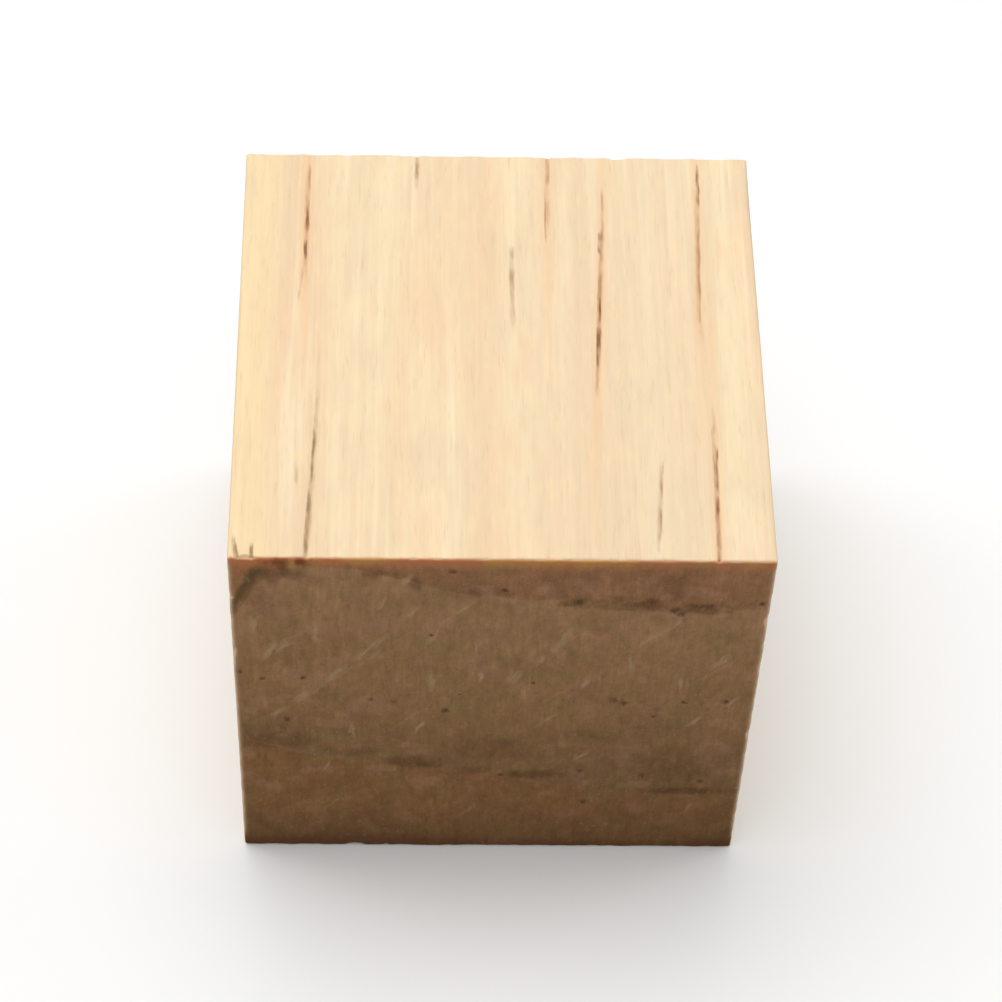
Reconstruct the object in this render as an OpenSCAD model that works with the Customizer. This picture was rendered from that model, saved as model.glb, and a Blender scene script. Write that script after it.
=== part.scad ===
// Plain cube cut from a planed softwood stick.
// The fibres run along Y: the front and back are cross-cut end-grain faces,
// and the other four are planed long-grain faces.
// The origin is the middle of the bottom face, with +Z up and the front facing -Y.

/* [Cube] */
// Length of every side of the cube
side = 30; // [15:1:80]

/* [Arrises] */
// Rounding of the four planed arrises that run along the grain
long_arris_r = 0.3; // [0.1:0.05:1]
// Rounding of the eight cross-cut arrises round the two end faces
end_arris_r = 0.2; // [0.1:0.05:1]

/* [Open resin canals] */
// Width of a cut-open resin canal at its middle, where it meets the face
canal_width = 0.3; // [0.1:0.05:0.6]
// Depth of a cut-open resin canal at its middle
canal_depth = 0.15; // [0.05:0.05:0.4]

/* [Chipped arrises] */
// Radius of the scoop that a torn-out splinter leaves in a cross-cut arris
chip_r = 1.2; // [0.6:0.1:2.4]
// Depth that the scoop reaches in from the sharp corner
chip_depth = 0.25; // [0.2:0.01:0.5]

/* [Hidden] */
// Segments of an arris or a chip, and of the wide disc whose rim cuts a canal
$fn = 32;
DISC_FN = 720;
// Turns about the grain that bring each long-grain face to the top
TOP = 0;
RIGHT = 90;
BOTTOM = 180;
LEFT = 270;
// The two end-grain faces
FRONT = -1;
BACK = 1;

// Canals that lie whole on a face: face, place across and along it as a share
// of half the side, length, and slant from the grain in degrees.
WHOLE_CANALS = [
    [TOP, -0.75, 0.63, 9.5, 0],
    [TOP, 0.05, 0.29, 6, 1],
    [TOP, 0.39, 0.25, 14, -3],
    [TOP, 0.78, 0.5, 12.5, -2],
    [TOP, -0.76, -0.61, 1.5, 0],
    [TOP, 0.58, -0.74, 6, -4],
    [RIGHT, 0.32, 0.3, 7, 1],
    [RIGHT, -0.45, -0.42, 5, -1],
    [RIGHT, 0.7, -0.15, 3, 0],
    [BOTTOM, -0.4, 0.35, 8, 2],
    [BOTTOM, 0.2, -0.3, 11, 1],
    [BOTTOM, 0.65, 0.5, 4, 2],
    [LEFT, -0.3, -0.2, 9, -1],
    [LEFT, 0.5, 0.45, 4, 0],
    [LEFT, 0.15, -0.65, 3, 1],
];

// Canals that run out over the arris of an end face: long-grain face, place
// across it, end face, reach in from that arris, and slant.
RUNOUT_CANALS = [
    [TOP, -0.32, BACK, 2.6, 0],
    [TOP, 0.2, BACK, 6.5, -1],
    [TOP, -0.715, FRONT, 10.6, -2],
    [TOP, -0.965, FRONT, 1.4, 8],
    [TOP, -0.91, FRONT, 1, 3],
    [TOP, 0.785, FRONT, 9.3, -1],
    [RIGHT, -0.2, BACK, 5, 1],
    [BOTTOM, 0.42, FRONT, 6, -1],
    [LEFT, 0.75, FRONT, 4, 1],
];

// Chips along the cross-cut arrises: long-grain face, end face, place along
// the arris as a share of half the side, and size as a share of a full chip.
CHIPS = [
    [TOP, FRONT, -0.93, 0.9],
    [TOP, BACK, 0.48, 0.85],
    [RIGHT, FRONT, -0.62, 1],
    [RIGHT, FRONT, 0.15, 0.85],
    [RIGHT, BACK, 0.36, 0.9],
    [BOTTOM, FRONT, 0.55, 1],
    [BOTTOM, BACK, -0.72, 0.9],
    [LEFT, FRONT, 0.4, 0.85],
    [LEFT, BACK, -0.1, 1],
];

// A square with its four corners rounded to true arcs.
module rounded_square(radius) {
    inset = side / 2 - radius;
    square([side, 2 * inset], center = true);
    square([2 * inset, side], center = true);
    for (x = [-inset, inset], y = [-inset, inset])
        translate([x, y]) circle(radius);
}

// A bar of that section, centred on the origin, along Z.
module eased_bar(radius) {
    linear_extrude(side, center = true) rounded_square(radius);
}

// The sawn and sanded blank: the planed stick and its two cross-cuts meet in
// eased arrises, and three such bars at right angles leave just that form.
module blank() {
    translate([0, 0, side / 2]) intersection() {
        rotate([90, 0, 0]) eased_bar(long_arris_r);
        rotate([0, 90, 0]) eased_bar(end_arris_r);
        eased_bar(end_arris_r);
    }
}

// Puts a child drawn on the plane z = 0, with the grain along Y, on a
// long-grain face.
module on_face(face) {
    translate([0, 0, side / 2]) rotate([0, face, 0]) translate([0, 0, side / 2]) children();
}

// The hollow of a resin canal that the face has cut open: the V-shaped rim of
// a wide thin disc dips into the face, so the hollow is widest and deepest at
// its middle and thins out to a point at both ends.
module open_canal(length) {
    disc_r = (pow(length / 2, 2) + pow(canal_depth, 2)) / (2 * canal_depth);
    rim_r = disc_r - canal_depth;
    clear_r = rim_r - canal_depth;
    half = canal_width / 2;
    // Half angle of the part of the rim that can reach the face
    sweep = acos(clear_r / disc_r) + 1;
    translate([0, 0, rim_r]) rotate([0, 90, 0]) rotate([0, 0, -sweep])
        rotate_extrude(angle = 2 * sweep, $fn = DISC_FN)
            polygon([[clear_r, -half], [rim_r, -half], [disc_r, 0], [rim_r, half], [clear_r, half]]);
}

// The scoop of one chip, on the arris between a long-grain and an end face.
module chip(end, along, share) {
    reach = share * chip_depth;
    out = (chip_r - reach) / sqrt(2);
    translate([along * side / 2, end * (side / 2 + out), out]) sphere(chip_r);
}

module wooden_cube() {
    color([0.93, 0.83, 0.66]) difference() {
        blank();
        for (c = WHOLE_CANALS)
            on_face(c[0]) translate([c[1] * side / 2, c[2] * side / 2, 0])
                rotate([0, 0, c[4]]) open_canal(c[3]);
        for (c = RUNOUT_CANALS)
            on_face(c[0]) translate([c[1] * side / 2, c[2] * side / 2, 0])
                rotate([0, 0, c[4]]) open_canal(2 * c[3]);
        for (c = CHIPS)
            on_face(c[0]) chip(c[1], c[2], c[3]);
    }
}

wooden_cube();
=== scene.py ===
# %% [markdown]
# # A bare pine cube
#
# The real thing is one small block of pine. It was planed as a long square
# stick and then sawn across, so four of its faces show the grain lengthwise
# and two show it end on. Nothing is painted or oiled. All of its looks come
# from two things: the shape that the plane and the saw left, and the wood
# inside, which runs straight through from face to face.
#
# So there are two steps. The first makes the skin of the block as one mesh.
# The second describes the wood as a solid, and lets each face show its own
# cut through it.

# %% Load the packed cube
import functools
import math

import bpy
import numpy as np
from mathutils import Matrix, Vector


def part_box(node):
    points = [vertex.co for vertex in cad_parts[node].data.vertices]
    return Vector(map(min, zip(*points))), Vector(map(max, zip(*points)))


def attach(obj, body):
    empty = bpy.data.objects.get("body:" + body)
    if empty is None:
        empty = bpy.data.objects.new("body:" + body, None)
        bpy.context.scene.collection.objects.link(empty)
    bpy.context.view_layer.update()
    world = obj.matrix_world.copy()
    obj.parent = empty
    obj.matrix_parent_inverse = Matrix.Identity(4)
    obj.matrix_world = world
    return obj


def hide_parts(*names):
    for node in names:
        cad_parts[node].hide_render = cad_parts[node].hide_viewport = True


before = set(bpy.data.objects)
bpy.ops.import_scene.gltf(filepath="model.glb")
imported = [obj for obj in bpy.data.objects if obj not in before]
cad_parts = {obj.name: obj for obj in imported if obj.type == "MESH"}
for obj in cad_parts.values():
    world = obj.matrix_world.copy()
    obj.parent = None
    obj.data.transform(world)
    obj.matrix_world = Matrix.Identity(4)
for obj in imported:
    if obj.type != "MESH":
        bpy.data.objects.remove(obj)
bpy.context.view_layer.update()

# Blender works in metres here, and all the sizes below are in millimetres.
MM = 0.001
low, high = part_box("wooden_cube")
SIDE = round((high[0] - low[0]) / MM, 3)
HALF = SIDE / 2
MIDDLE = Vector((0, 0, HALF))
print(f"The cube measures {SIDE} mm along each side.")

# %% [markdown]
# ## The camera
#
# The view looks steeply down on the cube, with the end grain in front and
# the planed face on top, and neither side showing. A long lens stands back
# six and a half times the side, which gives the gentle taper of a close
# view. The small roll keeps the front edge level in the picture, because
# the camera stands a few degrees to the left of the cube's middle line.

# %% Camera
AZIMUTH = math.radians(-3.0)
ELEVATION = math.radians(52.8)
ROLL = math.radians(2.9)
DISTANCE = 195.2
AIM = Vector((0.5, 0, 15.5))
LENS, SENSOR = 115.5, 36

camera_data = bpy.data.cameras.new("camera")
camera_data.sensor_width = SENSOR
camera_data.lens = LENS
# Nothing is nearer than this, in metres
camera_data.clip_start = 0.01
camera = bpy.data.objects.new("camera", camera_data)
bpy.context.collection.objects.link(camera)
backwards = Vector(
    (
        math.sin(AZIMUTH) * math.cos(ELEVATION),
        -math.cos(AZIMUTH) * math.cos(ELEVATION),
        math.sin(ELEVATION),
    )
)
camera.location = (AIM + DISTANCE * backwards) * MM
turned = backwards.to_track_quat("Z", "Y").to_matrix() @ Matrix.Rotation(ROLL, 3, "Z")
camera.rotation_euler = turned.to_euler()
bpy.context.scene.camera = camera
print("The camera is at", [round(c / MM, 1) for c in camera.location], "mm.")

# %% [markdown]
# ## Smooth random bumps
#
# Sawn wood is never quite regular. Every unevenness of the mesh comes from
# this one function. It could be done with Blender's own noise one point at
# a time, but numpy does all the points of the cube in one go.

# %% Smooth noise for whole arrays of points
# The random numbers repeat after this many cells along each axis.
LATTICE = 32
# This many cells are added to each place, so that no cell number is negative.
CELL_SHIFT = 300.0
SEEDED = {}


def ease(value, start, end):
    """0 up to `start`, 1 from `end` on, and an S-shaped rise in between.

    The S is the curve 3t^2 - 2t^3, where t is the share of the way crossed.
    """
    t = np.clip((value - start) / (end - start), 0, 1)
    return t * t * (3 - 2 * t)


def lumpy(points, size, seed):
    """Smooth random heights between -1 and 1 for an array of points.

    Random numbers sit at the corners of a cubic lattice whose cells measure
    `size`. The height at a point is the mean of the eight corners of its
    cell. Along each axis a corner's weight falls off along the same S curve.
    """
    if seed not in SEEDED:
        SEEDED[seed] = np.random.default_rng(seed).uniform(-1, 1, (LATTICE, LATTICE, LATTICE))
    cells = points / np.asarray(size, float) + CELL_SHIFT
    corner = np.floor(cells).astype(int)
    t = ease(cells - corner, 0, 1)
    height = 0.0
    for step in np.ndindex(2, 2, 2):
        weight = np.prod(np.where(step, t, 1 - t), axis=-1)
        i, j, k = np.moveaxis((corner + step) % LATTICE, -1, 0)
        height = height + weight * SEEDED[seed][i, j, k]
    return height


print("Bumps at three places:", lumpy(np.array([[0, 0, 0], [0.5, 0, 0], [1.5, 0, 0]]), 1, 1).round(3))

# %% [markdown]
# ## Where the resin canals are cut open
#
# Pine has thin tubes of resin along its fibres. Where the plane runs along
# one, it opens it as a narrow brown trough a few millimetres long, and that
# is the strongest mark on the faces. A random pattern would put them just
# anywhere, so they are listed one by one. The troughs are both a dent in the
# mesh and a stain in the wood, and one list serves for both.

# %% Table of the open canals
# A face is named by the turn about the grain that brings it on top.
TOP, RIGHT, BOTTOM, LEFT = 0, 90, 180, 270
FRONT_END, BACK_END = -HALF, HALF

# face, place across it, place along it, length, slant in degrees, width
GREY_CANALS = [
    (TOP, -4.8, BACK_END, 5.2, 0, 0.34),
    (TOP, 0.75, 4.35, 6.0, 1, 0.3),
    (TOP, -10.7, FRONT_END, 21.2, -2, 0.32),
    (TOP, -11.4, -9.15, 1.5, 0, 0.22),
    (TOP, -14.5, FRONT_END, 2.8, 8, 0.38),
    (TOP, -13.65, FRONT_END, 2.2, 3, 0.3),
    (TOP, 8.7, -11.1, 6.0, -4, 0.3),
    (RIGHT, -6.75, -6.3, 5.0, -1, 0.3),
    (RIGHT, 10.5, -2.25, 3.0, 0, 0.26),
    (BOTTOM, -6.0, 5.25, 8.0, 2, 0.3),
    (BOTTOM, 9.75, 7.5, 4.0, 2, 0.26),
    (LEFT, 7.5, 6.75, 4.0, 0, 0.3),
    (LEFT, 2.25, -9.75, 3.0, 1, 0.26),
    (LEFT, 11.25, FRONT_END, 8.0, 1, 0.3),
]
RED_CANALS = [
    (TOP, -11.25, 9.45, 9.5, 0, 0.34),
    (TOP, 3.0, BACK_END, 13.0, -1, 0.3),
    (TOP, 5.85, 3.75, 14.0, -3, 0.32),
    (TOP, 11.7, 7.5, 12.5, -2, 0.32),
    (TOP, 11.8, FRONT_END, 18.6, -1, 0.34),
    (RIGHT, 4.8, 4.5, 7.0, 1, 0.32),
    (RIGHT, -3.0, BACK_END, 10.0, 1, 0.3),
    (BOTTOM, 3.0, -4.5, 11.0, 1, 0.32),
    (BOTTOM, 6.3, FRONT_END, 12.0, -1, 0.3),
    (LEFT, -4.5, -3.0, 9.0, -1, 0.32),
]
OPEN_CANALS = GREY_CANALS + RED_CANALS
CANAL_DEPTH = 0.10


def canal_pose(canal):
    """The turn and the middle of a canal: across is x, along is y, out is z."""
    face, across, along, _, slant, _ = canal
    face_turn = Matrix.Rotation(math.radians(face), 3, "Y")
    turn = face_turn @ Matrix.Rotation(math.radians(slant), 3, "Z")
    return turn, MIDDLE + face_turn @ Vector((across, along, HALF))


print(len(OPEN_CANALS), "canals are cut open.")

# %% [markdown]
# ## The mesh lines
#
# One closed mesh has to show arrises a fifth of a millimetre round and
# troughs a third of a millimetre wide on a block a hundred times as large.
# A plain even grid fine enough for that would have millions of faces. Here
# the lines of a box-shaped grid crowd together at the arrises and along the
# troughs, and spread out in between.

# %% Graded lines along each side of the cube
# How far from an arris or a trough the lines stay close, and how close
ARRIS_REACH, ARRIS_STEP = 0.35, 0.055
CANAL_REACH, CANAL_STEP = 0.3, 0.12
# Spacing away from them, and its growth for each millimetre further out
X_STEP, Y_STEP, Z_STEP = 0.3, 0.5, 0.32
GROWTH = 0.5
# The spacing is worked out at this many places along a side.
PLACES = 6001


def graded_lines(coarse, details):
    """Places of the mesh lines from -HALF to HALF.

    Near each detail (place, reach, fine) the spacing is `fine`. Beyond its
    reach the spacing grows with the distance until it is `coarse`. The
    running sum of 1 / spacing counts lines, and a line is put wherever that
    count passes the next whole number.
    """
    s = np.linspace(-HALF, HALF, PLACES)
    spacing = np.full_like(s, coarse)
    for place, reach, fine in details:
        beyond = np.maximum(np.abs(s - place) - reach, 0)
        spacing = np.minimum(spacing, fine + GROWTH * beyond)
    density = 1 / spacing
    count = np.concatenate([[0], np.cumsum((density[1:] + density[:-1]) / 2 * np.diff(s))])
    return np.interp(np.linspace(0, count[-1], math.ceil(count[-1]) + 1), count, s)


def details_of(*signed_faces):
    """Both arrises, and each canal on the given faces.

    `sign` is 1 where places across the face count the same way as the mesh
    axis, and -1 where they count against it.
    """
    details = [(-HALF, ARRIS_REACH, ARRIS_STEP), (HALF, ARRIS_REACH, ARRIS_STEP)]
    for face, sign in signed_faces:
        for canal in OPEN_CANALS:
            if canal[0] == face:
                details.append((sign * canal[1], CANAL_REACH, CANAL_STEP))
    return details


x_lines = graded_lines(X_STEP, details_of((TOP, 1), (BOTTOM, -1)))
y_lines = graded_lines(Y_STEP, details_of())
z_lines = graded_lines(Z_STEP, details_of((RIGHT, -1), (LEFT, 1)))
print("Mesh lines along x, y and z:", len(x_lines), len(y_lines), len(z_lines))

# %% [markdown]
# ## The skin of the block
#
# The grid of lines gives a sharp cube first. Points on an edge belong to two
# faces and corners to three, so every point is named by its three line
# numbers, and equal names are merged. That closes the mesh with no seams.

# %% Points and squares of the sharp cube


def box_skin(xs, ys, zs):
    """Points and outward squares of the skin of a box-shaped lattice."""
    counts = (len(xs), len(ys), len(zs))
    squares = []
    for axis in range(3):
        across, along = (axis + 1) % 3, (axis + 2) % 3
        i, j = np.indices((counts[across] - 1, counts[along] - 1))
        for end in (0, counts[axis] - 1):
            corners = np.zeros(i.shape + (4, 3), int)
            corners[..., axis] = end
            for n, (di, dj) in enumerate(((0, 0), (1, 0), (1, 1), (0, 1))):
                corners[..., n, across] = i + di
                corners[..., n, along] = j + dj
            if end == 0:
                corners = corners[..., ::-1, :]
            squares.append(corners.reshape(-1, 4, 3))
    names = np.ravel_multi_index(np.moveaxis(np.concatenate(squares), -1, 0), counts)
    used, squares = np.unique(names, return_inverse=True)
    i, j, k = np.unravel_index(used, counts)
    return np.stack([xs[i], ys[j], zs[k]], axis=1), squares.reshape(-1, 4)


sharp, squares = box_skin(x_lines, y_lines, z_lines)
print(f"Sharp cube: {len(sharp)} points and {2 * len(squares)} triangles.")

# %% [markdown]
# ## Arrises
#
# The plane leaves the four arrises along the grain slightly round. The saw
# leaves the eight at the ends sharper but ragged, because it tears fibres
# out there. A Bevel modifier would make them all equally perfect, so the
# rounding is worked out for each point, with a radius that wanders.

# %% Round the arrises unevenly
# Radius of the arrises along the grain and of those at the ends
LONG_ARRIS, END_ARRIS = 0.3, 0.2
# How far along the fibres a long arris starts to sharpen, and has done so
END_ZONE = (HALF - 1.2, HALF - 0.4)
# How far a radius strays from its mean, as a share of it
WANDERING, RAGGEDNESS = 0.3, 0.35


def eased_block(points):
    """Rounded points and their outward directions.

    A point is held inside a box that is smaller by the radius all round.
    The arm from there to the point is then cut to the radius: on a flat face
    this changes nothing, and near an arris it makes a round one.
    """
    at_end = ease(np.abs(points[:, 1]), *END_ZONE)
    radius = LONG_ARRIS + (END_ARRIS - LONG_ARRIS) * at_end
    radius = radius * (1 + WANDERING * lumpy(points, (0.9, 3.5, 0.9), 1))
    radius = (radius * (1 + RAGGEDNESS * at_end * lumpy(points, 0.5, 2)))[:, None]
    held = np.clip(points, radius - HALF, HALF - radius)
    out = points - held
    out /= np.linalg.norm(out, axis=1, keepdims=True)
    return held + radius * out, out


skin, out = eased_block(sharp)
edge_distance = np.sort(HALF - np.abs(sharp), axis=1)[:, 1]
# 1 where the skin faces along the fibres, and 0 where they run past
end_grain = ease(np.abs(out[:, 1]), 0.4, 0.85)
print(f"Easing the arrises moved points by up to {np.linalg.norm(skin - sharp, axis=1).max():.3f} mm.")

# %% [markdown]
# ## Chips
#
# Where a cross-cut arris has lost a splinter there is a small scoop. Each is
# a ball pressed into the arris: points inside the ball move out to its
# surface. Boolean modifiers could cut them too, but would leave the mesh in
# slivers. A few chips are plain to see, and many more are hardly larger than
# the arris itself.

# %% Press the scoops into the arrises
# long-grain face, end face, place along the arris, size
CHIPS = [
    (TOP, -1, -13.95, 0.8),
    (TOP, 1, 7.2, 0.85),
    (RIGHT, -1, -9.3, 1.0),
    (RIGHT, -1, 2.25, 0.85),
    (RIGHT, 1, 5.4, 0.9),
    (BOTTOM, -1, 8.25, 1.0),
    (BOTTOM, 1, -10.8, 0.9),
    (LEFT, -1, 6.0, 0.85),
    (LEFT, 1, -1.5, 1.0),
]
CHIP_RADIUS, CHIP_DEPTH = 1.2, 0.25
# The small ones: how many, their radius and depth, and how near to a corner
SMALL_CHIPS = 90
SMALL_RADIUS, SMALL_DEPTH = (0.25, 0.6), (0.085, 0.13)
CHIP_END = HALF - 0.5
draw = np.random.default_rng(7)
chips = [(face, end, along, CHIP_RADIUS, CHIP_DEPTH * size) for face, end, along, size in CHIPS]
for n in range(SMALL_CHIPS):
    face = (TOP, RIGHT, BOTTOM, LEFT)[n % 4]
    end = draw.choice((-1, 1))
    radius = draw.uniform(*SMALL_RADIUS)
    chips.append((face, end, draw.uniform(-CHIP_END, CHIP_END), radius, draw.uniform(*SMALL_DEPTH)))

torn = np.zeros(len(skin))
# A torn scoop is not quite a ball.
rough = 1 + 0.03 * lumpy(skin, 0.25, 3)
for face, end, along, radius, depth in chips:
    beyond = (radius - depth) / math.sqrt(2)
    turn = Matrix.Rotation(math.radians(face), 3, "Y")
    ball = np.array(turn @ Vector((along, end * (HALF + beyond), HALF + beyond)))
    arm = skin - ball
    reach = np.linalg.norm(arm, axis=1)
    inside = reach < radius * rough
    skin[inside] = ball + arm[inside] * (radius * rough / reach)[inside][:, None]
    torn[inside] = 1.0
print(f"{len(chips)} chips moved {int(torn.sum())} points.")

# %% [markdown]
# ## Troughs, saw marks and planer waves
#
# What is left is relief of a tenth of a millimetre and less, always cut into
# the block and never standing out of it, so that the cube keeps its size.
# A Displace modifier could do it from a texture, but the troughs have to lie
# just where their stains will be, so numpy works them out from the table.

# %% Cut the open canals
for canal in OPEN_CANALS:
    turn, place = canal_pose(canal)
    length, width = canal[3], canal[5]
    local = (skin - np.array(place - MIDDLE)) @ np.array(turn)
    # Nearly even along most of its length, with a soft V across
    deep = np.clip(1 - (2 * local[:, 1] / length) ** 4, 0, 1)
    deep *= np.exp(-((local[:, 0] / (0.38 * width)) ** 2)) * ease(-np.abs(local[:, 2]), -0.5, -0.2)
    skin -= CANAL_DEPTH * deep[:, None] * np.array(turn.col[2])
print(f"The troughs are up to {CANAL_DEPTH} mm deep.")

# %% Saw marks on the ends and planer waves along the sides
# A round saw blade sweeps arcs about its shaft, which was far outside.
# The back is another cut, with its marks the other way up.
SAW_SHAFT = np.array((-95.0, 73.0))
# Greatest depths of the saw's arcs, torn cells, planer waves and fibres
ARC_DEPTH, CELL_DEPTH, WAVE_DEPTH, FIBRE_DEPTH = 0.022, 0.016, 0.010, 0.006


def cut_in(bumps):
    """Bumps between -1 and 1 as a share of the greatest depth."""
    return (1 + bumps) / 2


cut_face = np.where(skin[:, 1:2] > 0, skin[:, [0, 2]] * (1, -1), skin[:, [0, 2]])
saw_radius = np.linalg.norm(cut_face - SAW_SHAFT, axis=1)
# The front and the back read their arcs at different places of the noise.
arcs = lumpy(np.stack([saw_radius, np.sign(skin[:, 1]) * 9, 0 * saw_radius], axis=1), 0.9, 4)
sawn = ARC_DEPTH * cut_in(arcs) + CELL_DEPTH * cut_in(lumpy(skin, (0.5, 0.5, 0.8), 5))
planed = WAVE_DEPTH * cut_in(lumpy(skin, (0.9, 14, 0.9), 6))
planed += FIBRE_DEPTH * cut_in(lumpy(skin, (0.35, 5, 0.35), 8))
skin -= (end_grain * sawn + (1 - end_grain) * planed)[:, None] * out
print(f"Deepest saw mark {sawn.max():.3f} mm, deepest planer wave {planed.max():.3f} mm.")

# %% [markdown]
# ## The mesh object
#
# The finished points go into one mesh. Three numbers are kept for each
# point, for the material to read: whether the fibres end there or run past,
# how near an arris is, and whether a chip has torn it.

# %% Build the piece
# How far from an arris, in millimetres, its painted highlight fades
ARRIS_FADE = 0.17
near_arris = np.exp(-((edge_distance / ARRIS_FADE) ** 2))

mesh = bpy.data.meshes.new("pine_cube")
placed = (skin + np.array(MIDDLE)) * MM
mesh.from_pydata(placed.tolist(), [], squares.tolist())
mesh.polygons.foreach_set("use_smooth", np.ones(len(squares), bool))
for name, values in (("end_grain", end_grain), ("near_arris", near_arris), ("torn", torn)):
    layer = mesh.attributes.new(name, "FLOAT", "POINT")
    layer.data.foreach_set("value", values.astype(np.float32))
mesh.update()
cube = bpy.data.objects.new("pine_cube", mesh)
bpy.context.collection.objects.link(cube)
print("Finished cube, low and high corners:", placed.min(0).round(6), placed.max(0).round(6))

# %% [markdown]
# ## Writing a material as sums
#
# A wood this detailed needs about a thousand nodes, and placing them one by
# one would hide what they do. The class below wraps a socket, so that sums
# on sockets read like sums on numbers, and each sum adds its Math node.

# %% A socket that can be used in sums
class Wire:
    """The output of a node, ready for sums."""

    def __init__(self, socket):
        self.socket = socket

    def __add__(self, other):
        return maths("ADD", self, other)

    def __sub__(self, other):
        return maths("SUBTRACT", self, other)

    def __rsub__(self, other):
        return maths("SUBTRACT", other, self)

    def __mul__(self, other):
        return maths("MULTIPLY", self, other)

    def __truediv__(self, other):
        return maths("DIVIDE", self, other)

    def __rtruediv__(self, other):
        return maths("DIVIDE", other, self)

    def __pow__(self, other):
        return maths("POWER", self, other)

    def __rpow__(self, other):
        return maths("POWER", other, self)

    def __neg__(self):
        return maths("MULTIPLY", self, -1.0)

    __radd__ = __add__
    __rmul__ = __mul__


print("Sums with a number on the left:", [name for name in vars(Wire) if name.startswith("__r")])

# %% One function for every node


def emptied_tree(owner):
    """The node tree of a material or of the world, with nothing left in it."""
    owner.use_nodes = True
    owner.node_tree.nodes.clear()
    return owner.node_tree


def node(kind, settings=None, output=0, **values):
    """Add a node to `tree`, make its settings, fill its sockets, give one output.

    A socket is named by its label with spaces as underscores, or by i and
    its number, such as i0.
    """
    made = tree.nodes.new(kind)
    for name, value in (settings or {}).items():
        setattr(made, name, value)
    for name, value in values.items():
        key = int(name[1:]) if name[0] == "i" and name[1:].isdigit() else name.replace("_", " ")
        if isinstance(value, Wire):
            tree.links.new(value.socket, made.inputs[key])
        else:
            made.inputs[key].default_value = value
    return Wire(made.outputs[output]) if made.outputs else None


def numbered(values):
    """The values as sockets i0, i1, i2 and so on."""
    return {f"i{n}": value for n, value in enumerate(values)}


def maths(operation, *values):
    """A sum on numbers."""
    return node("ShaderNodeMath", {"operation": operation}, **numbered(values))


def least(*values):
    """The least of any number of values, taken two at a time."""
    return functools.reduce(functools.partial(maths, "MINIMUM"), values)


def most(*values):
    """The greatest of any number of values, taken two at a time."""
    return functools.reduce(functools.partial(maths, "MAXIMUM"), values)


def vectors(operation, *values, output=0):
    """A sum on vectors. Output 1 is the number where the answer is one."""
    return node("ShaderNodeVectorMath", {"operation": operation}, output, **numbered(values))


def as_vector(x, y, z):
    """Three numbers as one vector."""
    return node("ShaderNodeCombineXYZ", i0=x, i1=y, i2=z)


def coordinate(vector, axis):
    """One of the three numbers of a vector."""
    return node("ShaderNodeSeparateXYZ", {}, axis, i0=vector)


pine = bpy.data.materials.new("bare_pine")
tree = emptied_tree(pine)
print("Nodes in the empty material:", len(tree.nodes))

# %% [markdown]
# ## Growth rings
#
# A pine ring starts each spring with pale, soft earlywood, darkens slowly to
# dense latewood, and stops sharply in autumn. This block was cut well away
# from the middle of a fast-grown tree, so only two ring edges cross it, far
# apart and almost flat. A Wave texture would draw rings evenly spaced, so
# both edges are written out instead, as the height z of the edge above the
# bottom for each x. The upper one dips at the left, as rings do next to a
# branch, and both sag a little at the right.

# %% The wood's own coordinates


def rise(value, start, end, first=0.0, last=1.0):
    """An S-shaped rise from `first` to `last` between `start` and `end`."""
    return node(
        "ShaderNodeMapRange",
        {"interpolation_type": "SMOOTHSTEP"},
        Value=value, From_Min=start, From_Max=end, To_Min=first, To_Max=last,
    )


def noise(place, size, detail=2.0, roughness=0.5):
    """Blender's noise with lumps about `size` millimetres along each axis."""
    scaled = vectors("DIVIDE", place, size)
    return node("ShaderNodeTexNoise", Vector=scaled, Scale=1.0, Detail=detail, Roughness=roughness)


object_place = node("ShaderNodeTexCoord", {}, "Object")
place = node("ShaderNodeVectorMath", {"operation": "SCALE"}, i0=object_place, Scale=1 / MM)
along_grain = coordinate(place, 1)
along_z = coordinate(place, 2)

# The trunk is never quite straight: the wood sways sideways along the grain.
sway = noise(place, (7, 45, 7), 1) - 0.5
wood = vectors("MULTIPLY_ADD", as_vector(sway, 0, sway), (0.8, 0.0, 1.8), place)
x, y, z = (coordinate(wood, axis) for axis in range(3))
print("Nodes in the coordinates:", len(tree.nodes))

# %% Ring edges and seasons
bulge = 1.3 * maths("EXPONENT", -(((x + 9) / 4) ** 2))
dip = 0.36 * most(-11 - x, 0) ** 2
sag = 0.5 * maths("EXPONENT", -(((x - 9) / 3.5) ** 2))
upper_edge = 26.6 - 0.13 * x + 0.004 * x * x + bulge - dip - sag
lower_edge = 7.9 - 0.2 * x + 0.006 * x * x - sag
# The rings fall a little towards the front.
height = z + 0.02 * (y + HALF)
# Years grown since the upper edge, counted downwards: 1 at the lower edge
age = (upper_edge - height) / (upper_edge - lower_edge)
age = age + 0.014 * (noise(place, (1.2, 30, 1.2)) - 0.5)
age = age + 0.016 * (noise(place, (0.22, 9, 0.45), 1) - 0.5)
season = maths("FRACT", age + 3)

# Latewood thickens from late summer on and stops at once in autumn.
autumn = rise(season, 1.002, 0.98)
late = rise(season, 0.74, 0.93) * autumn
print("Nodes with the rings:", len(tree.nodes))

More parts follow.
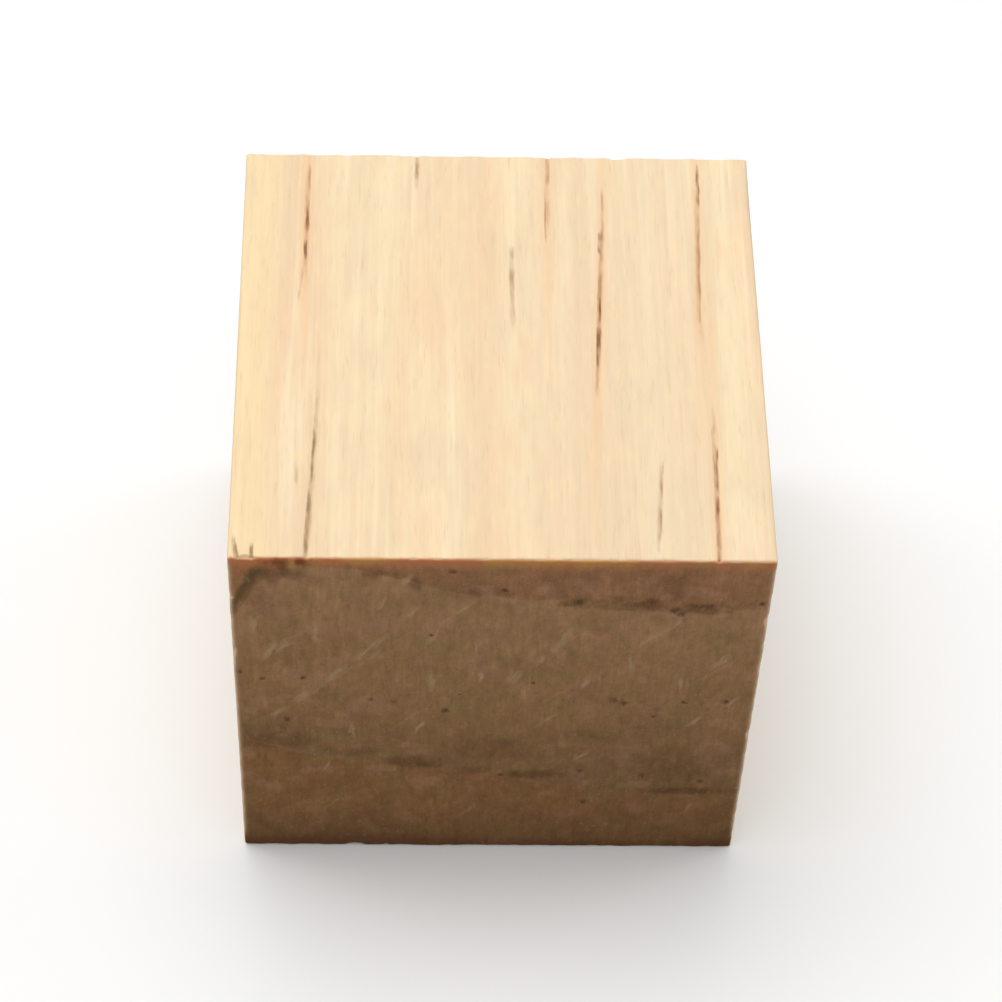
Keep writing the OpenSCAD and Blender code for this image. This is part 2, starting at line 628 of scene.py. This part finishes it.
# %% The last layer of the latewood
# It is a thin dark line, thick where the edge dips at the left and broken
# elsewhere, and fainter on the lower ring edge.
gaps = noise(place, (1.1, 40, 0.9), 1)
specks = noise(place, (0.3, 12, 0.3), 1)
at_left = rise(x, -9.5, -12)
start = 0.945 - 0.12 * at_left - 0.05 * (gaps - 0.5)
stop = rise(season, 1.002, 0.98 - 0.07 * at_left)
last_layer = rise(season, start, start + 0.045 + 0.03 * at_left) * stop
last_layer = last_layer * rise(gaps + 0.4 * at_left, 0.38, 0.66, 0.15, 1.0)
last_layer = last_layer * rise(specks + 0.4 * at_left, 0.3, 0.66, 0.5, 1.0) * rise(z, 14, 20, 0.25, 1.0)
last_layer = last_layer * most(at_left, rise(x, -3, 4, 0.3, 0.9))
print("Nodes with the last layer:", len(tree.nodes))

# %% [markdown]
# ## The long-grain faces
#
# Planed pine is cream, with soft bands of yellow and pink that follow the
# fibres, and short fine dashes where the plane opened single fibres. A photo
# of a board could be laid on each face, but it would break off at the
# arrises. Here each layer is noise in the solid wood, stretched many times
# longer along y than across, so it runs round every arris by itself.

# %% Helpers for colours


def blend(factor, a, b, way="MIX"):
    """Colour `a` turning into `b`, or combined with it another way."""
    settings = {"data_type": "RGBA", "blend_type": way}
    return node("ShaderNodeMix", settings, 2, i0=factor, i6=a, i7=b)


def shaded(colour, tone):
    """A colour made lighter or darker by a number about 1."""
    grey = node("ShaderNodeCombineColor", Red=tone, Green=tone, Blue=tone)
    return blend(1.0, colour, grey, "MULTIPLY")


def paint(red, green, blue):
    """A colour picked on a screen, 0 to 255, as the linear one nodes use."""
    picked = np.array((red, green, blue)) / 255
    linear = np.where(picked <= 0.04045, picked / 12.92, ((picked + 0.055) / 1.055) ** 2.4)
    return (*linear.tolist(), 1.0)


print("Mid grey on a screen, as nodes see it:", paint(128, 128, 128))

# %% Colour of the long-grain faces
CREAM = paint(243, 221, 182)
YELLOW = paint(242, 216, 168)
PINK = paint(238, 209, 171)
PEACH = paint(242, 207, 170)
GREYISH = paint(234, 210, 174)
PALE = paint(246, 227, 192)
TAN = paint(214, 172, 124)
RING_BROWN = paint(178, 126, 80)
DASH_BROWN = paint(206, 162, 110)

broad = noise(place, (3.2, 50, 3.2), 1)
cloud = noise(place, (2.2, 6, 2.2), 2)
middling = noise(place, (0.8, 22, 0.8), 2)
streaks = noise(place, (0.32, 16, 0.32), 2, 0.6)
fibres = noise(place, (0.2, 4.5, 0.2), 3, 0.6)
short = noise(place, (0.5, 2.2, 0.5), 2, 0.6)
long_colour = blend(rise(broad, 0.35, 0.65), PINK, CREAM)
long_colour = blend(0.6 * rise(cloud, 0.5, 0.7), long_colour, GREYISH)
long_colour = blend(0.55 * rise(cloud, 0.47, 0.32), long_colour, PEACH)
long_colour = blend(0.8 * rise(middling, 0.5, 0.72), long_colour, PALE)
left_band = rise(x + 1.5 * (middling - 0.5), -12.2, -13.6)
right_band = rise(x + 2.5 * (broad - 0.5), 0.5, 3.5) * rise(x, 12.9, 12.3)
on_top = rise(z, 22, 27)
long_colour = blend(0.7 * left_band * on_top, long_colour, YELLOW)
long_colour = blend(0.65 * right_band * on_top, long_colour, GREYISH)
# The top was planed so close to a ring edge that its dark side hardly shows.
top_face = rise(along_z, 28.9, 29.7)
long_colour = blend(0.6 * late * (1 - 0.85 * top_face), long_colour, TAN)
long_colour = blend(0.55 * last_layer * (1 - top_face), long_colour, RING_BROWN)
long_colour = blend(0.4 * rise(short, 0.54, 0.7), long_colour, YELLOW)
long_colour = blend(0.35 * rise(short, 0.46, 0.3), long_colour, PINK)
long_tone = 1 + 0.10 * (fibres - 0.5) + 0.08 * (middling - 0.5) + 0.14 * (streaks - 0.5)
long_colour = shaded(long_colour, long_tone + 0.08 * (short - 0.5))
dashes = rise(noise(place, (0.13, 1.8, 0.13), 1), 0.62, 0.76)
long_colour = blend(0.16 * dashes, long_colour, DASH_BROWN)
print("Nodes with the long-grain faces:", len(tree.nodes))

# %% [markdown]
# ## The end-grain faces
#
# End grain drinks in the light between its open fibres, so it looks darker
# and browner than the sides of the same wood. The rings show as grey-brown
# bands with damp-looking patches along them, and rays as faint upright
# lines. The ring field above draws the bands. The patches follow no rule
# that noise could copy, so the clearest are listed one by one.

# %% Colour of the end-grain faces
END_SPRING = paint(200, 153, 110)
END_SUMMER = paint(190, 145, 100)
END_LATE = paint(177, 134, 90)
END_PINK = paint(190, 137, 97)
END_RUST = paint(222, 140, 96)
END_OLD = paint(176, 127, 80)
END_GREEN = paint(178, 146, 96)
END_ROSE = paint(210, 158, 122)

end_blotch = noise(place, (2.6, 9, 2.2), 2)
mottle = noise(place, (0.7, 9, 1.1), 2, 0.6)
rays = noise(place, (0.17, 9, 2.0), 1) - 0.5
fuzz = noise(place, (0.36, 9, 1.3), 1) - 0.5
cells = noise(place, (0.12, 9, 0.16), 2, 0.7)
flecks = noise(place, (0.26, 9, 0.4), 2, 0.6)
hues = noise(place, (2.0, 12, 1.6), 2, 0.5)
uneven = 0.30 * (end_blotch - 0.5) + 0.2 * (mottle - 0.5)
end_colour = blend(rise(season + uneven, 0.1, 0.5), END_SPRING, END_SUMMER)
end_colour = blend(rise(season + uneven, 0.5, 0.95) * autumn, end_colour, END_LATE)
end_colour = blend(rise(age, 0.0, -0.03), end_colour, END_PINK)
end_colour = blend(0.6 * at_left * rise(age, -0.12, -0.2), end_colour, END_RUST)
end_colour = blend(0.95 * rise(age + 0.3 * uneven, 0.975, 1.01), end_colour, END_OLD)
hue_share = rise(height, 3, 10, 0.25, 0.5)
end_colour = blend(hue_share * rise(hues, 0.52, 0.68), end_colour, END_GREEN)
end_colour = blend(hue_share * rise(hues, 0.47, 0.32), end_colour, END_ROSE)
print("Nodes with the rings on the ends:", len(tree.nodes))

# %% Damp patches and the dark ring line
END_DAMP = paint(133, 91, 50)
END_LINE = paint(114, 82, 52)
ARC_LINE = paint(118, 94, 58)

# x and z of the middle, half the width and height, and how dark
PATCHES = [
    (-12.6, 11.7, 2.6, 0.9, 0.55), (-8.6, 10.6, 2.0, 0.5, 0.4), (-4.8, 9.5, 1.9, 0.8, 0.95),
    (0.2, 11.0, 2.6, 1.5, 0.55), (2.4, 8.3, 1.9, 0.6, 1.0), (10.6, 9.2, 2.6, 2.4, 0.5),
    (11.6, 6.5, 3.2, 0.5, 0.9), (-1.4, 8.7, 1.4, 0.5, 0.6), (9.4, 27.4, 1.2, 1.3, 0.55),
    (-13.6, 26.9, 1.3, 1.6, 0.3), (5.8, 12.4, 1.8, 0.8, 0.35), (-12.4, 28.6, 1.6, 0.8, 0.8),
    (-4.7, 27.7, 0.5, 0.7, 0.6), (-1.4, 26.8, 0.6, 0.5, 0.7), (6.6, 25.6, 1.6, 0.4, 0.65),
    (4.2, 25.9, 1.3, 0.45, 0.75), (8.2, 25.8, 1.0, 0.6, 0.6), (11.6, 25.3, 1.6, 0.35, 0.75),
]


def far_out(place, middle, half):
    """0 at `middle`, and 1 on the ellipsoid with `half` as its half-widths.

    The place is squeezed by the half-widths, which turns the ellipsoid into
    a ball of radius 1, and the distance from its middle is taken there.
    """
    squeeze = tuple(1 / h for h in half)
    shift = tuple(-m / h for m, h in zip(middle, half))
    return vectors("LENGTH", vectors("MULTIPLY_ADD", place, squeeze, shift), output=1)


# The place on the end face, with nothing along the grain
flat = vectors("MULTIPLY", place, (1, 0, 1))
damp = []
for patch_x, patch_z, half_x, half_z, dark in PATCHES:
    away = far_out(flat, (patch_x, 0, patch_z), (half_x, 1, half_z)) + 1.1 * (mottle - 0.5)
    damp.append(rise(away, 1.25, 0.3, 0.0, dark))
end_colour = blend(0.68 * most(*damp), end_colour, END_DAMP)
line_share = rise(x, -9, -12, 0.8, 0.78)
end_colour = blend(last_layer * line_share, end_colour, blend(at_left, END_LINE, ARC_LINE))
print(len(PATCHES), "damp patches are on the ends.")

# %% [markdown]
# ## Saw marks in the colour
#
# The saw leaves two kinds of marks on the ends. Soft light and dark bands
# follow the arcs of its teeth all over the face. On top of them a few teeth
# have roughed the fibres up into short pale strokes. The strokes are placed
# one by one, because the eye finds a random pattern of them too even.

# %% Light and dark bands of the saw
# On the back the marks are the other way up, as in the mesh.
at_back = maths("GREATER_THAN", along_grain, 0.0)
flip = at_back * (SIDE - 2 * along_z)
sawn_face = vectors("ADD", flat, as_vector(0, 0, flip))
shaft = (float(SAW_SHAFT[0]), 0.0, float(SAW_SHAFT[1]) + HALF)
arc = vectors("DISTANCE", sawn_face, shaft, output=1)
arc_lines = node(
    "ShaderNodeTexNoise", {"noise_dimensions": "1D"},
    W=arc + 0.9 * (mottle - 0.5), Scale=1.3, Detail=2.0, Roughness=0.6,
)
end_tone_and_shade = 0.99 + 0.30 * (end_blotch - 0.5) + 0.46 * (mottle - 0.5) + 0.34 * fuzz
end_tone_and_shade = end_tone_and_shade + 0.42 * rays * rise(end_blotch, 0.45, 0.65, 0.35, 1.0)
end_tone_and_shade = end_tone_and_shade + 0.36 * (cells - 0.5) + 0.10 * (arc_lines - 0.5)
# Painted shade: the ends grow darker towards the foot and a little lighter
# towards the top, as light falls on them. They are darker towards the lower right too.
end_tone_and_shade = end_tone_and_shade * rise(height, -3, 6, 0.42, 0.93) * rise(height, 7, 20, 0.97, 1.07)
end_tone_and_shade = end_tone_and_shade * (1 - 0.1 * rise(x, -8, 13) * rise(height, 28, 8))
end_colour = shaded(end_colour, end_tone_and_shade)
print("Nodes with the saw's bands:", len(tree.nodes))

# %% Pale strokes of the saw
END_PALE = paint(222, 186, 142)

# lean in degrees: x and z of the middle, length and width
STROKES = {
    52: [
        (-9.2, 18.8, 2.6, 0.5), (-7.2, 21.5, 3.6, 0.55), (-11.2, 16.5, 1.8, 0.4), (-12.5, 14.9, 1.4, 0.4),
        (-5.0, 24.9, 2.0, 0.45), (-12.1, 21.5, 1.6, 0.45), (12.7, 20.3, 2.0, 0.45), (13.7, 16.3, 1.6, 0.35),
        (11.6, 14.1, 1.4, 0.4), (1.0, 18.6, 1.5, 0.7), (8.6, 22.7, 2.4, 0.4), (3.0, 14.2, 1.8, 0.3),
        (-2.0, 25.4, 1.6, 0.34), (-9.6, 4.8, 1.8, 0.28), (5.2, 10.4, 1.6, 0.28), (-1.4, 4.2, 1.4, 0.26),
    ],
    68: [
        (-12.9, 21.2, 2.6, 0.5), (3.6, 22.4, 3.0, 0.45), (2.4, 20.4, 1.2, 0.5), (10.0, 24.1, 1.3, 0.4),
        (-6.6, 25.8, 1.5, 0.4), (5.1, 17.9, 1.0, 0.45), (-4.4, 13.4, 1.6, 0.28), (12.0, 4.6, 1.4, 0.24),
        (-5.2, 28.1, 1.4, 0.34), (-3.7, 22.6, 1.8, 0.3), (-9.9, 9.0, 1.4, 0.26),
    ],
    92: [
        (-10.3, 23.0, 2.6, 0.45), (-3.8, 18.2, 2.4, 0.4), (7.5, 20.0, 1.9, 0.5), (-8.3, 13.1, 1.6, 0.34),
        (-1.2, 21.6, 2.0, 0.3), (10.6, 18.2, 1.5, 0.34), (-13.8, 23.6, 1.8, 0.4), (-0.9, 18.6, 1.4, 0.34),
    ],
}
# Longer and fainter marks of single teeth
LONG_MARKS = {
    48: [
        (-9.0, 18.6, 11.0, 0.32), (-12.1, 22.0, 5.0, 0.3), (3.7, 22.0, 5.0, 0.28), (3.5, 16.8, 3.4, 0.28),
        (12.6, 19.5, 4.0, 0.26), (-4.6, 14.8, 5.0, 0.24), (8.8, 22.8, 3.6, 0.26), (-2.8, 24.4, 4.2, 0.24),
    ],
}


def saw_marks(groups, solid):
    """1 along the middle of each mark, and down to `solid` where it is frayed.

    The face is turned until a group's marks run along one axis. A mark then
    fades out with the distance from its middle, in lengths and widths.
    """
    marks = []
    for degrees, group in groups.items():
        cosine, sine = math.cos(math.radians(degrees)), math.sin(math.radians(degrees))
        run = vectors("DOT_PRODUCT", sawn_face, (cosine, 0.0, sine), output=1)
        side = vectors("DOT_PRODUCT", sawn_face, (-sine, 0.0, cosine), output=1)
        leant = as_vector(run, side + 0.7 * (mottle - 0.5), 0)
        away = []
        for mark_x, mark_z, length, width in group:
            middle = (mark_x * cosine + mark_z * sine, mark_z * cosine - mark_x * sine, 0.0)
            away.append(far_out(leant, middle, (length / 2, width / 2, 1.0)))
        frayed = noise(leant, (1.3, 0.12, 1), 1)
        marks.append(rise(least(*away), 1.35, 0.2) * rise(frayed, 0.34, 0.6, solid, 1.0))
    return most(*marks)


in_light = rise(height, 0, 12, 0.35, 1.0)
end_colour = blend(0.3 * saw_marks(LONG_MARKS, 0.4), end_colour, END_PALE)
end_colour = blend(0.72 * in_light * saw_marks(STROKES, 0.3), end_colour, END_PALE)
end_colour = blend(0.25 * in_light * rise(cells, 0.62, 0.76), end_colour, END_PALE)
end_colour = blend(0.25 * rise(cells, 0.36, 0.24), end_colour, END_LINE)
end_colour = blend(0.22 * rise(flecks, 0.6, 0.74), end_colour, END_PALE)
end_colour = blend(0.24 * rise(flecks, 0.4, 0.26), end_colour, END_DAMP)
print("Nodes with the saw's strokes:", len(tree.nodes))

# %% [markdown]
# ## Resin canals
#
# On the ends each canal is a dark dot, and most of them lie in loose rows.
# Along the sides they are the troughs of the table above: each is stained as
# a long thin body that is buried in the face. Painting them onto the faces
# would do as well from afar, but a body in the wood also shows where a
# rounded arris cuts through it.

# %% Dots on the ends
DOT_BROWN = paint(92, 62, 42)

# x and z of the middle, and the radius
DOTS = [
    (-14.7, 19.0, 0.20), (-13.4, 18.3, 0.16), (-11.1, 18.4, 0.20), (-12.1, 14.1, 0.24), (-7.2, 16.2, 0.20),
    (-5.9, 16.0, 0.17), (-2.9, 15.1, 0.26), (-2.7, 28.8, 0.22), (0.2, 27.1, 0.20), (4.3, 26.1, 0.32),
    (8.4, 26.2, 0.28), (9.7, 25.3, 0.30), (10.1, 25.0, 0.26), (11.6, 25.7, 0.32), (14.5, 26.0, 0.20),
    (6.8, 16.3, 0.26), (7.4, 16.0, 0.24), (10.9, 16.1, 0.18), (13.3, 16.2, 0.24), (9.2, 14.6, 0.15),
    (2.1, 18.0, 0.14), (5.6, 5.2, 0.22), (8.9, 8.2, 0.20), (5.2, 8.7, 0.18), (12.5, 7.6, 0.20),
    (0.5, 8.2, 0.18), (-3.8, 22.7, 0.14), (-8.5, 12.5, 0.14), (-2.1, 16.8, 0.12),
]
dots = [vectors("DISTANCE", flat, (dot_x, 0.0, dot_z), output=1) / radius for dot_x, dot_z, radius in DOTS]
dot_stain = rise(least(*dots) + 1.8 * (cells - 0.5), 1.5, 0.1)
dot_stain = dot_stain * rise(mottle, 0.3, 0.6, 0.35, 0.75)
end_colour = blend(dot_stain, end_colour, DOT_BROWN)
print(len(DOTS), "canals end in a dot.")

# %% Stains along the sides
# The darkest stretches inside some of the canals
GREY_CORES = [
    (TOP, -10.5, -8.1, 3.4, -2, 0.16),
    (TOP, -10.64, -11.1, 1.6, -2, 0.24),
    (TOP, -10.76, FRONT_END, 2.6, -2, 0.24),
    (TOP, -13.65, FRONT_END, 2.0, 3, 0.26),
]
RED_CORES = [
    (TOP, -11.22, 10.2, 3.0, 0, 0.22),
    (TOP, -11.27, 7.4, 1.5, 0, 0.2),
    (TOP, 5.98, 8.1, 1.6, -3, 0.32),
    (TOP, 5.82, 3.0, 1.8, -3, 0.15),
    (TOP, 5.66, 0.3, 2.8, -3, 0.29),
    (TOP, 11.92, 12.7, 3.2, -2, 0.22),
    (TOP, 11.98, -8.8, 3.2, -1, 0.15),
    (TOP, 11.9, -11.1, 1.4, -1, 0.2),
    (TOP, 11.75, FRONT_END, 1.6, -1, 0.18),
    (TOP, -14.5, FRONT_END, 2.6, 8, 0.3),
    (RIGHT, 4.8, 5.0, 4.0, 1, 0.28),
    (BOTTOM, 3.0, -3.0, 5.0, 1, 0.26),
    (LEFT, -4.5, -2.0, 4.0, -1, 0.28),
]
# Thin grey-brown threads, where the plane only just met a canal
THREADS = [
    (TOP, -11.2, 12.6, 4.6, 0, 0.2),
    (TOP, -11.5, 4.6, 2.6, -4, 0.18),
    (TOP, 2.98, 14.3, 3.2, -1, 0.26),
    (TOP, 2.8, 10.3, 4.4, -1, 0.12),
    (TOP, 6.15, 10.4, 4.0, -1, 0.16),
    (TOP, 5.85, 4.6, 7.0, -3, 0.26),
    (TOP, 5.5, -1.7, 3.6, -3, 0.22),
    (TOP, 11.75, 7.2, 12.0, -2, 0.15),
    (TOP, -10.4, -5.6, 4.8, -2, 0.2),
    (TOP, -10.75, -13.6, 4.0, -2, 0.27),
    (TOP, 11.85, -10.5, 12.0, -1, 0.26),
    (TOP, 0.78, 6.1, 3.0, 1, 0.32),
    (TOP, 8.75, -11.2, 5.6, -4, 0.18),
    (TOP, -4.8, 14.0, 3.4, 0, 0.18),
    (RIGHT, 4.8, 1.8, 8.0, 1, 0.18),
    (BOTTOM, 3.0, -8.0, 7.0, 1, 0.18),
    (LEFT, -4.5, -6.5, 6.0, -1, 0.18),
]
# How deep a stain reaches into the wood from the middle of its canal
STAIN_DEPTH = 0.6

ripple = 0.16 * (noise(place, (0.5, 2.2, 0.5), 1) - 0.5)
wavy = vectors("ADD", place, as_vector(ripple, 0, ripple))
leaning = {}


def nearest_canal(canals):
    """How far out of the nearest canal a place is: 0 in its middle, 1 at its rim.

    A canal that leans by an angle s moves sideways by tan(s) for each
    millimetre along the grain. The wood is pushed back by that much first,
    which stands the canal straight, and then squeezed until the canal
    reaches 1 along every axis. The length of (x^2, y^2, z^2) is the result.
    Its rim is a rounded box with blunt ends, where the length of (x, y, z)
    would give a lens with pointed ones.
    """
    rims = []
    for canal in canals:
        turn, middle = canal_pose(canal)
        axis = 0 if canal[0] in (TOP, BOTTOM) else 2
        lean = -turn[axis][1] / turn[1][1]
        key = (axis, round(lean, 4))
        if key not in leaning:
            push = [0.0, 0.0, 0.0]
            push[axis] = lean
            y_only = as_vector(along_grain, along_grain, along_grain)
            leaning[key] = vectors("MULTIPLY_ADD", y_only, tuple(push), wavy)
        half = [STAIN_DEPTH, canal[3] / 2, STAIN_DEPTH]
        half[axis] = canal[5] / 2
        middle[axis] += lean * middle[1]
        shift = tuple(-m / h for m, h in zip(middle, half))
        squeezed = vectors("MULTIPLY_ADD", leaning[key], tuple(1 / h for h in half), shift)
        rims.append(vectors("LENGTH", vectors("MULTIPLY", squeezed, squeezed), output=1))
    return least(*rims)


patchy = rise(noise(place, (0.5, 1.9, 0.5), 1), 0.32, 0.62, 0.3, 1.0)
ragged = 1.5 * (noise(place, (0.14, 0.8, 0.14), 2) - 0.5)
red_canal = nearest_canal(RED_CANALS)
# Around a red canal the resin has soaked the wood orange.
long_colour = blend(0.30 * rise(red_canal, 9.0, 0.6), long_colour, paint(240, 192, 144))
# Where, how strong and what colour, from the weakest stain to the strongest
stains = [
    (nearest_canal(GREY_CANALS), 0.42, paint(172, 132, 84)),
    (red_canal, 0.46, paint(204, 136, 82)),
    (nearest_canal(THREADS), 0.48, paint(150, 104, 60)),
    (nearest_canal(GREY_CORES), 0.6, paint(112, 84, 40)),
    (nearest_canal(RED_CORES), 0.78, paint(122, 66, 28)),
]
for away, share, stain in stains:
    long_colour = blend(share * patchy * rise(away + ragged, 1.4, 0.1), long_colour, stain)
print("Nodes with the canals:", len(tree.nodes))

# %% [markdown]
# ## Putting the faces together
#
# The mesh says where fibres end, so one material serves for all the faces.
# Two materials with a seam between them would show a hard line. The
# orange-brown line below the upper arris of the ends is painted light: it
# stands in for light from the bright top that soaks through the fibre tips.

# %% Base colour
ARRIS_HIGHLIGHT = paint(250, 216, 178)
GLOW_RED, GLOW_YELLOW = paint(240, 150, 96), paint(240, 172, 96)
FOOT_SHADE_BROWN = paint(112, 66, 34)
SCORCH_BROWN = paint(122, 54, 34)
TORN_TAN = paint(222, 178, 126)
# Dark red-brown stretches of the upper front arris, as if the saw had
# scorched it: x and z of the middle, and half the width and height
SCORCHES = [(-12.2, 29.5, 1.0, 0.45), (-11.0, 29.6, 0.55, 0.45), (-6.9, 28.5, 0.9, 0.4)]
SCORCH_REACH = 6.0


def stored(name):
    """A number that the mesh keeps for each of its points."""
    return node("ShaderNodeAttribute", {"attribute_name": name}, 2)


is_end = stored("end_grain")
by_arris = stored("near_arris")
is_torn = stored("torn")
# Painted light: an orange-brown glow below the upper arris of the ends, for light from the bright top
# soaking through the fibre tips.
top_glow = rise(along_z + 0.5 * (mottle - 0.5), SIDE - 1.4, SIDE - 0.15) ** 1.5
# Painted highlight: a pale line along the arrises of the ends, where they catch the light.
end_colour = blend(by_arris * rise(height, 0.4, 3), end_colour, ARRIS_HIGHLIGHT)
glow_colour = blend(rise(hues, 0.42, 0.58), GLOW_RED, GLOW_YELLOW)
glow_share = rise(x, 2, 10, 0.92, 0.7) * (1 - 0.6 * is_torn) * (1 - 0.6 * at_back)
end_colour = blend(glow_share * top_glow, end_colour, glow_colour)
# Painted shade: a dark brown band along the foot of the ends, standing in for the contact shadow there.
end_colour = blend(0.6 * rise(height, 1.6, 0.1), end_colour, FOOT_SHADE_BROWN)
scorched = []
for scorch_x, scorch_z, half_x, half_z in SCORCHES:
    away = far_out(place, (scorch_x, FRONT_END, scorch_z), (half_x, SCORCH_REACH, half_z))
    scorched.append(rise(away + 1.6 * (mottle - 0.5) + 1.2 * fuzz, 1.4, 0.1))
end_colour = blend(rise(x, -8.5, -7.5, 0.75, 0.45) * most(*scorched), end_colour, SCORCH_BROWN)
colour = blend(is_end, long_colour, end_colour)
colour = blend(0.3 * is_torn * is_end, colour, TORN_TAN)
print("Nodes in the base colour:", len(tree.nodes))

# %% [markdown]
# ## Fine relief and gloss
#
# Relief finer than the mesh comes from a Bump node: fibres along the sides,
# open cells and saw arcs on the ends, and a pit in each dot. Heights are in
# millimetres. Bare pine is nearly matt, and its ends are duller still, so
# the roughness is high and a little higher there.

# %% Bump, roughness and the finished shader
long_relief = 0.010 * fibres + 0.012 * middling - 0.010 * dashes
end_relief = 0.022 * cells + 0.014 * rays + 0.016 * arc_lines - 0.05 * dot_stain
relief = long_relief * (1 - is_end) + end_relief * is_end
bump = node("ShaderNodeBump", Strength=1.0, Distance=MM, Height=relief)
roughness = 0.62 + 0.10 * fibres + is_end * 0.16
shader = node(
    "ShaderNodeBsdfPrincipled",
    Base_Color=colour, Roughness=roughness, Normal=bump, Specular_IOR_Level=0.35,
)
node("ShaderNodeOutputMaterial", Surface=shader)
mesh.materials.append(pine)
print("Nodes in the wood:", len(tree.nodes))

# %% Tie the piece to the packed cube
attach(cube, "root")
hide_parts("wooden_cube")
print("The dressed cube rides on the body root and takes the bare one's place.")

# %% [markdown]
# ## Floor and light
#
# A large soft light hangs over the cube, two weak ones stand beside it, and
# a weak even light fills in from all round, so the top is bright and the
# front is in soft shade. The floor is a wide plain sheet. Close to the cube
# it takes the shadow, and further out the camera sees it as plain white.
# Light that bounces finds it dark, because a white floor would throw so much
# back that the front would lose its shade.

# %% Floor
FLOOR_SIZE = 3.0
# In metres from the cube's middle: where the floor starts to turn white,
# and where it is quite white
WHITE_FROM, WHITE_AT = 0.03, 0.08
# Its colour close to the cube for the camera, and for light that bounces
NEARLY_WHITE, DARK_GREY = (0.96, 0.96, 0.96, 1), (0.16, 0.15, 0.14, 1)
WHITE = (1, 1, 1, 1)

bpy.ops.mesh.primitive_plane_add(size=FLOOR_SIZE, location=(0, 0, 0))
floor = bpy.context.object
floor.name = "floor"

sheet = bpy.data.materials.new("white_floor")
tree = emptied_tree(sheet)
away = vectors("LENGTH", node("ShaderNodeTexCoord", {}, "Object"), output=1)
seen = node("ShaderNodeLightPath", {}, "Is Camera Ray")
matt = node("ShaderNodeBsdfDiffuse", Color=NEARLY_WHITE)
dark = node("ShaderNodeBsdfDiffuse", Color=DARK_GREY)
white = node("ShaderNodeEmission", Color=WHITE, Strength=1.0)
shown = node("ShaderNodeMixShader", i0=rise(away, WHITE_FROM, WHITE_AT), i1=matt, i2=white)
node("ShaderNodeOutputMaterial", Surface=node("ShaderNodeMixShader", i0=seen, i1=dark, i2=shown))
floor.data.materials.append(sheet)
print("The floor is", FLOOR_SIZE, "m wide.")

# %% Lights


def soft_light(name, size, watts, spot, target):
    """A square area light at `spot` that faces `target`, in metres."""
    data = bpy.data.lights.new(name, "AREA")
    data.shape = "SQUARE"
    data.size = size
    data.energy = watts
    lamp = bpy.data.objects.new(name, data)
    bpy.context.collection.objects.link(lamp)
    lamp.location = spot
    lamp.rotation_euler = (Vector(spot) - Vector(target)).to_track_quat("Z", "Y").to_euler()
    print(f"Light {name}: {watts} W.")


soft_light("overhead", 0.5, 2.05, (-0.08, 0.10, 0.60), (0, 0, 0.03))
for name, way in (("left side", -1), ("right side", 1)):
    soft_light(name, 0.3, 0.9, (0.6 * way, 0.18, 0.14), (0, 0, 0.015))

# %% World
# Strength of the even light on the cube; the camera sees plain white instead.
FILL = 0.55
world = bpy.data.worlds.new("studio")
bpy.context.scene.world = world
tree = emptied_tree(world)
seen = node("ShaderNodeLightPath", {}, "Is Camera Ray")
fill = node("ShaderNodeBackground", Color=WHITE, Strength=FILL)
backdrop = node("ShaderNodeBackground", Color=WHITE, Strength=1.0)
node("ShaderNodeOutputWorld", Surface=node("ShaderNodeMixShader", i0=seen, i1=fill, i2=backdrop))
bpy.context.scene.view_settings.view_transform = "Standard"
print("The even light has a strength of", FILL)
